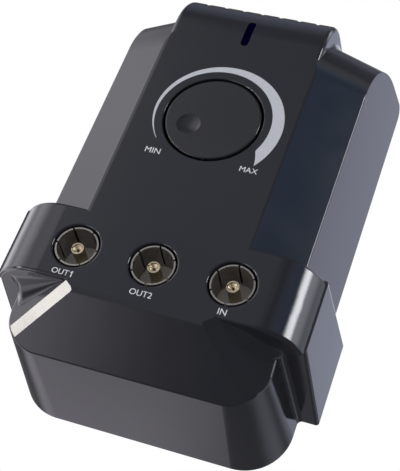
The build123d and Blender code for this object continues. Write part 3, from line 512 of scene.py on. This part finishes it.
def surface_of(*nodes):
    """The surface of some of the frame's solids, for rays to find."""
    points, faces = [], []
    for node in nodes:
        mesh = frame["nodes"][node].data
        first = len(points)
        points += [v.co.copy() for v in mesh.vertices]
        faces += [tuple(first + i for i in p.vertices) for p in mesh.polygons]
    return BVHTree.FromPolygons(points, faces)


def new_piece(name, mesh):
    """An object for a mesh, in the scene."""
    piece = bpy.data.objects.new(name, mesh)
    bpy.context.scene.collection.objects.link(piece)
    return piece


def ride_case(piece):
    """The piece moves with the case."""
    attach(piece, "case")


def printed(name, mesh, surface, ink):
    """Lays flat shapes on the cover and gives them the ink's thickness, as one closed piece."""
    for vertex in mesh.vertices:
        start = Vector((vertex.co.x, FRONT - BEFORE_COVER, vertex.co.z))
        hit = surface.ray_cast(start, -FORWARD)[0]
        vertex.co.y = (hit.y if hit else FRONT) - INK_PROUD
    film = bmesh.new()
    film.from_mesh(mesh)
    bmesh.ops.remove_doubles(film, verts=film.verts, dist=WELD)
    sunk = bmesh.ops.extrude_face_region(film, geom=film.faces[:])
    for part in sunk["geom"]:
        if isinstance(part, bmesh.types.BMVert):
            part.co.y += INK_FILM
    bmesh.ops.recalc_face_normals(film, faces=film.faces)
    film.to_mesh(mesh)
    film.free()
    mesh.materials.clear()
    mesh.materials.append(ink)
    ride_case(new_piece(name, mesh))


def label(words, centre, width, weight, surface, ink):
    """One printed word, centred at (x, height over the socket row); weight swells its strokes."""
    curve = bpy.data.curves.new(words, "FONT")
    curve.body = words
    curve.resolution_u = LETTER_CURVES
    curve.offset = weight
    text = new_piece("label_" + words, curve)
    bpy.context.view_layer.update()
    mesh = bpy.data.meshes.new_from_object(text)
    bpy.data.objects.remove(text)
    xs = [v.co.x for v in mesh.vertices]
    ys = [v.co.y for v in mesh.vertices]
    size = width / (max(xs) - min(xs))
    middle = ((max(xs) + min(xs)) / 2, (max(ys) + min(ys)) / 2)
    for vertex in mesh.vertices:
        x, y = vertex.co.x - middle[0], vertex.co.y - middle[1]
        vertex.co = (centre[0] + x * size, FRONT, SOCKET_ROW + centre[1] + y * size)
    printed("label_" + words, mesh, surface, ink)


def figure_one(name, foot, height, surface, ink):
    """The figure one: an upright stroke with a slanted flag, its foot placed as a word is."""
    mesh = bpy.data.meshes.new(name)
    points = [
        (foot[0] + x * height, FRONT, SOCKET_ROW + foot[1] + y * height) for x, y in FIGURE_ONE
    ]
    mesh.from_pydata(points, [], FIGURE_ONE_FACES)
    printed(name, mesh, surface, ink)


def scale_reach(angle):
    """The crescent's outer radius at an angle, in millimetres."""
    for (a, ra), (b, rb) in zip(SCALE_OUTER, SCALE_OUTER[1:]):
        if b <= angle <= a:
            return ra + (rb - ra) * (a - angle) / (a - b)
    return SCALE_OUTER[-1][1]


def gain_scale(surface, ink):
    """The crescent round the knob, thin at MIN and wide at MAX."""
    first, last = SCALE_OUTER[0][0], SCALE_OUTER[-1][0]
    points, faces = [], []
    for i in range(SCALE_STEPS + 1):
        angle = first + (last - first) * i / SCALE_STEPS
        inner, outer = SCALE_INNER / 1000, scale_reach(angle) / 1000
        inner += (outer - inner) * max(0.0, (SCALE_CUT - angle) / SCALE_SLANT)
        turn = math.radians(angle)
        for k in range(SCALE_RINGS + 1):
            r = inner + (outer - inner) * k / SCALE_RINGS
            points.append((r * math.cos(turn), FRONT, KNOB_HEIGHT + r * math.sin(turn)))
    across = SCALE_RINGS + 1
    for i in range(SCALE_STEPS):
        for k in range(SCALE_RINGS):
            a = i * across + k
            faces.append((a + 1, a + across + 1, a + across, a))
    mesh = bpy.data.meshes.new("gain_scale")
    mesh.from_pydata(points, [], faces)
    printed("gain_scale", mesh, surface, ink)


def hollow_round(name, corner, first, second, radii, material):
    """Fills an inside corner: its points, the two walls' normals and a radius at each."""
    points, faces = [], []
    ring = ROUND_STEPS + 2
    for place, n1, n2, radius in zip(corner, first, second, radii):
        centre = place + (n1 + n2) * radius / (1.0 + n1.dot(n2))
        for k in range(ROUND_STEPS + 1):
            between = n1.slerp(n2, k / ROUND_STEPS)
            points.append(centre - between * radius - (n1 + n2) * ROUND_DIP)
        points.append(place - (n1 + n2) * ROUND_BURIED)
    rows = len(corner)
    for i in range(rows - 1):
        for k in range(ring):
            a, b = i * ring + k, i * ring + (k + 1) % ring
            faces.append((a, b, b + ring, a + ring))
    faces.append(tuple(range(ring))[::-1])
    faces.append(tuple((rows - 1) * ring + k for k in range(ring)))
    mesh = bpy.data.meshes.new(name)
    mesh.from_pydata(points, [], faces)
    mesh.materials.append(material)
    for index, face in enumerate(mesh.polygons):
        face.use_smooth = index < (rows - 1) * ring and index % ring < ROUND_STEPS
    shell = bmesh.new()
    shell.from_mesh(mesh)
    bmesh.ops.recalc_face_normals(shell, faces=shell.faces)
    shell.to_mesh(mesh)
    shell.free()
    ride_case(new_piece(name, mesh))


def chin_roots(surface, material):
    """The soft hollow under the band, where the chin's slanted flanks leave it, on both sides."""
    for side, name, radius, grows, ends in CHIN_ROOTS:
        below = Vector((side * UNDER_BAND[0], *UNDER_BAND[1:]))
        ceiling, under, _, _ = surface.ray_cast(below, UPWARD)
        ahead = Vector((side * BEFORE_FLANK[0], *BEFORE_FLANK[1:]))
        wall, flank, _, _ = surface.ray_cast(ahead, -FORWARD)
        under = under if under.z < 0 else -under
        flank = flank if flank.y < 0 else -flank
        along = Vector((-flank.y * side, flank.x * side, 0.0)).normalized()
        from_wall = flank.y * (FRONT - wall.y) + flank.z * (ceiling.z - wall.z)
        start = Vector((wall.x - from_wall / flank.x, FRONT, ceiling.z))
        corner, radii = [], []
        for i in range(ROUND_ROWS + 1):
            run = ROOT_FIRST + (ROOT_LAST - ROOT_FIRST) * i / ROUND_ROWS
            rise = min(1.0, (run - ROOT_FIRST) / grows)
            fall = min(1.0, (ROOT_END - run) / ends)
            corner.append(start + along * run)
            radii.append(LEAST_ROUND + radius * rise * math.sin(fall * math.pi / 2))
        rows = len(corner)
        hollow_round(name, corner, [under] * rows, [flank] * rows, radii, material)


def grip_feet(surface, material):
    """The soft hollow where each end of the finger grip stands on the case, along its own line."""
    for side, name in ((-1, "grip_foot_left"), (1, "grip_foot_right")):
        corner, first, second, radii = [], [], [], []
        for i in range(ROUND_ROWS + 1):
            share = i / ROUND_ROWS
            turn = math.radians(GRIP_FROM + GRIP_TURN * share)
            outward = Vector((0.0, math.cos(turn), -math.sin(turn)))
            beside = GRIP_MIDDLE + Vector((side * BESIDE_GRIP, 0.0, 0.0))
            hit, normal, _, _ = surface.ray_cast(beside + outward * OUTSIDE_CASE, -outward)
            if hit is None:
                continue
            hit.x = side * GRIP_HALF
            corner.append(hit)
            first.append(Vector((float(side), 0.0, 0.0)))
            second.append(normal if normal.dot(outward) > 0 else -normal)
            grown = min(1.0, share / GRIP_GROWS, (1 - share) / GRIP_ENDS)
            radii.append(LEAST_ROUND + GRIP_ROUND * grown)
        hollow_round(name, corner, first, second, radii, material)


def leaf_tree(material):
    """Geometry Nodes: one closed leaf of a funnel, repeated round its axis."""
    tree = bpy.data.node_groups.new("contact_leaf", "GeometryNodeTree")
    sockets = tree.interface
    sockets.new_socket("Geometry", in_out="OUTPUT", socket_type="NodeSocketGeometry")
    values = {}
    for name, kind, value in LEAVES:
        socket = sockets.new_socket(name, in_out="INPUT", socket_type=kind)
        socket.default_value = value
        values[socket.identifier] = value
    nodes, links = tree.nodes, tree.links
    given = nodes.new("NodeGroupInput").outputs
    result = nodes.new("NodeGroupOutput")

    # a flat grid becomes one leaf: x runs from the bore to the rim, y round the axis
    grid = nodes.new("GeometryNodeMeshGrid")
    grid.inputs["Vertices X"].default_value = LEAF_POINTS_OUT
    grid.inputs["Vertices Y"].default_value = LEAF_POINTS_ROUND
    grid.inputs["Size X"].default_value = 1.0
    grid.inputs["Size Y"].default_value = 1.0
    place = nodes.new("GeometryNodeInputPosition")
    split = nodes.new("ShaderNodeSeparateXYZ")
    links.new(place.outputs["Position"], split.inputs["Vector"])
    out = number(tree, "ADD", split.outputs["X"], 0.5)
    width = number(tree, "SUBTRACT", given["Outer Radius"], given["Inner Radius"])
    radius = number(tree, "ADD", given["Inner Radius"], number(tree, "MULTIPLY", out, width))
    sector = number(tree, "DIVIDE", 2 * math.pi, given["Leaves"])
    lost = number(tree, "DIVIDE", given["Slot"], radius)
    kept = number(tree, "SUBTRACT", sector, lost)
    angle = number(tree, "MULTIPLY", split.outputs["Y"], kept)
    across = number(tree, "MULTIPLY", radius, number(tree, "COSINE", angle))
    upright = number(tree, "MULTIPLY", radius, number(tree, "SINE", angle))
    inward = number(tree, "MULTIPLY", number(tree, "SUBTRACT", 1.0, out), given["Drop"])
    folded = fed(nodes.new("ShaderNodeCombineXYZ"), links, (across, inward, upright))
    bend = nodes.new("GeometryNodeSetPosition")
    links.new(grid.outputs["Mesh"], bend.inputs["Geometry"])
    links.new(folded.outputs["Vector"], bend.inputs["Position"])

    # the leaf gets its thickness and is closed at the back
    thicken = nodes.new("GeometryNodeExtrudeMesh")
    thicken.mode = "FACES"
    thicken.inputs["Individual"].default_value = False
    links.new(bend.outputs["Geometry"], thicken.inputs["Mesh"])
    links.new(given["Thickness"], thicken.inputs["Offset Scale"])
    turn_back = nodes.new("GeometryNodeFlipFaces")
    links.new(bend.outputs["Geometry"], turn_back.inputs["Mesh"])
    whole = nodes.new("GeometryNodeJoinGeometry")
    links.new(turn_back.outputs["Mesh"], whole.inputs["Geometry"])
    links.new(thicken.outputs["Mesh"], whole.inputs["Geometry"])
    closed = nodes.new("GeometryNodeMergeByDistance")
    closed.inputs["Distance"].default_value = WELD
    links.new(whole.outputs["Geometry"], closed.inputs["Geometry"])

    # it is repeated round the axis
    seats = nodes.new("GeometryNodeMeshLine")
    links.new(given["Leaves"], seats.inputs["Count"])
    seats.inputs["Offset"].default_value = (0.0, 0.0, 0.0)
    order = nodes.new("GeometryNodeInputIndex").outputs["Index"]
    turned = number(tree, "MULTIPLY", order, sector)
    spin = fed(nodes.new("ShaderNodeCombineXYZ"), links, (0.0, turned, 0.0))
    repeat = nodes.new("GeometryNodeInstanceOnPoints")
    links.new(seats.outputs["Mesh"], repeat.inputs["Points"])
    links.new(closed.outputs["Geometry"], repeat.inputs["Instance"])
    links.new(spin.outputs["Vector"], repeat.inputs["Rotation"])
    real = nodes.new("GeometryNodeRealizeInstances")
    links.new(repeat.outputs["Instances"], real.inputs["Geometry"])
    paint = nodes.new("GeometryNodeSetMaterial")
    paint.inputs["Material"].default_value = material
    links.new(real.outputs["Geometry"], paint.inputs["Geometry"])
    links.new(paint.outputs["Geometry"], result.inputs["Geometry"])
    return tree, values


def contact_leaves(material):
    """Sprung leaves, pinched in a little, at the mouth of each centre contact."""
    tree, values = leaf_tree(material)
    for end in ("out_1", "out_2", "in"):
        low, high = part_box("centre_contact_" + end)
        piece = new_piece("leaves_" + end, bpy.data.meshes.new("leaf_base"))
        modifier = piece.modifiers.new("leaves", "NODES")
        modifier.node_group = tree
        for identifier, value in values.items():
            modifier[identifier] = value
        bpy.context.view_layer.update()
        seen = piece.evaluated_get(bpy.context.evaluated_depsgraph_get())
        mesh = bpy.data.meshes.new_from_object(seen)
        piece.modifiers.clear()
        piece.data = mesh
        mouth = Vector(
            ((low[0] + high[0]) / 2, low[1] + LEAF_SET_BACK, (low[2] + high[2]) / 2)
        )
        for vertex in mesh.vertices:
            vertex.co += mouth
        ride_case(piece)


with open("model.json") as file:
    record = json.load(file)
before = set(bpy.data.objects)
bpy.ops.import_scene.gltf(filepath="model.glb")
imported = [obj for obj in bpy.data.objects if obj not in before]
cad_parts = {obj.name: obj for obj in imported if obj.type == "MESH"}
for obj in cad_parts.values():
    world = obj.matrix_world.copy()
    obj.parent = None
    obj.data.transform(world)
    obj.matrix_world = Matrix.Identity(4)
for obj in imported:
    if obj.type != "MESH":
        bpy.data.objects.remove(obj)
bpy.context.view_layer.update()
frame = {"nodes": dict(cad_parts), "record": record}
place_camera()
bpy.context.scene.view_settings.view_transform = "Standard"
light_room()
hang_key_light()
lay_floor()

# one finish for each of the record's material slots
case_plastic = moulded_plastic(
    "case_plastic", (0.0145, 0.0150, 0.0190), 0.095, spread=0.015, sink=0.00016
)
finishes = {
    "case": case_plastic,
    "knob": moulded_plastic(
        "knob_plastic", (0.0145, 0.0148, 0.0172), 0.26, spread=0.02, sink=0.00001
    ),
    "pin_plastic": moulded_plastic("pin_plastic", (0.022, 0.022, 0.025), 0.32),
    # the window's dark blue is partly its own tint and partly painted shade of its recess; its
    # gloss is taken away to stand for the same shade
    "window": moulded_plastic("light_window", (0.0004, 0.0002, 0.0080), 0.16, gloss=0.0),
    "lamp": clear_plastic("lamp_lens", (0.25, 0.42, 0.9), 0.2, 0.6),
    "tinned": plated_metal("tinned_wire", (0.70, 0.70, 0.68), 0.25),
    "board": solder_mask("board_lacquer", (0.02, 0.115, 0.045)),
    "tinplate": plated_metal("tinplate", (0.66, 0.66, 0.64), 0.28, TINPLATE_LINES),
    "pot": moulded_plastic("control_body", (0.045, 0.045, 0.05), 0.42),
    "track": moulded_plastic("carbon_track", (0.014, 0.014, 0.014), 0.55),
    "shaft": plated_metal("control_shaft", (0.72, 0.72, 0.71), 0.28, SHAFT_LINES),
    "contact": plated_metal("centre_contact", (0.66, 0.57, 0.39), 0.36),
    "steel": plated_metal("zinc_plate", (0.60, 0.60, 0.61), 0.30),
    "retainer": moulded_plastic("pin_retainer", (0.055, 0.055, 0.06), 0.45),
    "core": stacked_steel("core_sheets", (0.25, 0.235, 0.22)),
    "bobbin": moulded_plastic("bobbin_plastic", (0.70, 0.68, 0.60), 0.40),
    "copper": wound_wire("copper_wire", (0.62, 0.26, 0.11)),
    "capacitor": moulded_plastic("capacitor_sleeve", (0.018, 0.026, 0.11), 0.25),
    "black_component": moulded_plastic("component_resin", (0.018, 0.018, 0.02), 0.5),
    "fuse": moulded_plastic("fuse_body", (0.33, 0.17, 0.06), 0.3),
    "ferrite": moulded_plastic("ferrite", (0.07, 0.07, 0.075), 0.6),
    "nickel": plated_metal("socket_nickel", (0.36, 0.34, 0.31), 0.30, SHELL_LINES, 0.9),
    "insulator": moulded_plastic("socket_insulator", (0.42, 0.385, 0.34), 0.45),
    "sleeve": moulded_plastic("pin_sleeve", (0.024, 0.024, 0.026), 0.35),
    "brass": plated_metal("pin_brass", (0.80, 0.60, 0.29), 0.2),
}
for part in frame["record"]["subparts"]:
    mesh = frame["nodes"][part["node"]].data
    mesh.materials.clear()
    mesh.materials.append(finishes[part["material_slot"]])

# the prints, each at (across, height over the socket row)
cover = surface_of("front_cover")
white_ink = printed_ink("white_ink", (0.62, 0.62, 0.64))
gain_scale(cover, printed_ink("grey_ink", (0.44, 0.45, 0.48)))
label("OUT", (-0.01995, -0.0074), 0.0042, BOLD, cover, white_ink)
figure_one("label_figure_one", (-0.01725, -0.0082), 0.0016, cover, white_ink)
label("OUT2", (0.0, -0.0078), 0.0054, BOLD, cover, white_ink)
label("IN", (0.0191, -0.0073), 0.0020, BOLD, cover, white_ink)
label("MIN", (-0.0111, 0.0298), 0.0038, PLAIN, cover, white_ink)
label("MAX", (0.0131, 0.0300), 0.0044, PLAIN, cover, white_ink)

# the soft hollows and the contacts' leaves
shells = surface_of("front_cover", "rear_housing")
chin_roots(shells, case_plastic)
grip_feet(shells, case_plastic)
contact_leaves(plated_metal("leaf_brass", (0.80, 0.69, 0.50), 0.50, metallic=0.8))
